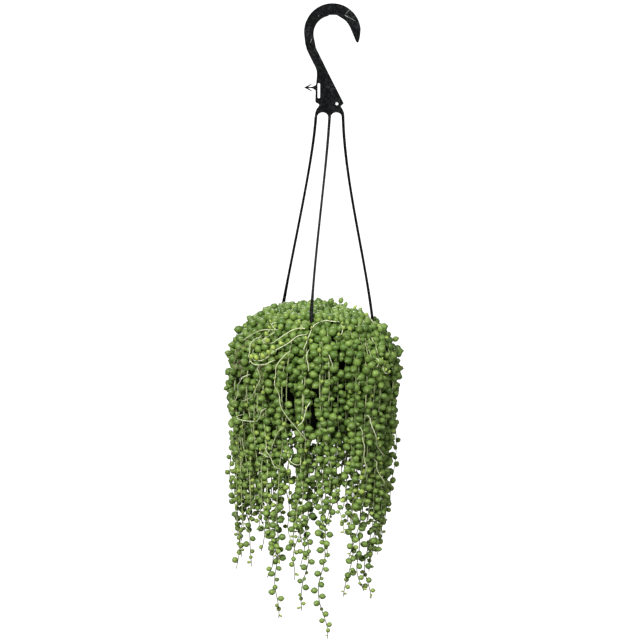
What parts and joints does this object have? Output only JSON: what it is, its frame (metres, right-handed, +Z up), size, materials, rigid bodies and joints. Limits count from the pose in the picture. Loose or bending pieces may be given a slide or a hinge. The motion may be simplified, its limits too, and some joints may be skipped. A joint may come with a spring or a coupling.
{
  "type": "potted string of pearls",
  "caption": "Trailing succulent with bead-like leaves spilling over a hanging nursery pot on a flat plastic hook with three clip-in legs.",
  "frame": {"origin": "middle of the flat seat under the crown of the hook, where the part hangs", "axes": "+Z up, the hook's plate lies in the plane y = 0, the hook opens towards +X and the picture looks along +Y"},
  "size_m": [0.1942, 0.1953, 0.7012],
  "materials": {
    "hanger_plastic": "satin",
    "pot_plastic": "satin",
    "potting_mix": "rough",
    "crown_green": "satin",
    "pearl_green": "satin"
  },
  "bodies": {
    "root": {"hanger": "hanger_plastic", "pot": "pot_plastic", "soil": "potting_mix", "crown": "crown_green", "strand_01": "pearl_green", "strand_02": "pearl_green", "strand_03": "pearl_green", "strand_04": "pearl_green", "strand_05": "pearl_green", "strand_06": "pearl_green", "strand_07": "pearl_green", "strand_08": "pearl_green", "strand_09": "pearl_green", "strand_10": "pearl_green", "strand_11": "pearl_green", "strand_12": "pearl_green", "strand_13": "pearl_green", "strand_14": "pearl_green", "strand_15": "pearl_green", "strand_16": "pearl_green", "strand_17": "pearl_green", "strand_18": "pearl_green", "strand_19": "pearl_green", "strand_20": "pearl_green", "strand_21": "pearl_green", "strand_22": "pearl_green", "strand_23": "pearl_green", "strand_24": "pearl_green", "strand_25": "pearl_green", "strand_26": "pearl_green", "strand_27": "pearl_green", "strand_28": "pearl_green", "strand_29": "pearl_green", "strand_30": "pearl_green", "strand_31": "pearl_green", "strand_32": "pearl_green", "strand_33": "pearl_green", "strand_34": "pearl_green", "strand_35": "pearl_green", "strand_36": "pearl_green", "strand_37": "pearl_green", "strand_38": "pearl_green", "strand_39": "pearl_green", "strand_40": "pearl_green", "strand_41": "pearl_green", "strand_42": "pearl_green", "strand_43": "pearl_green", "strand_44": "pearl_green", "strand_45": "pearl_green"}
  },
  "joints": []
}
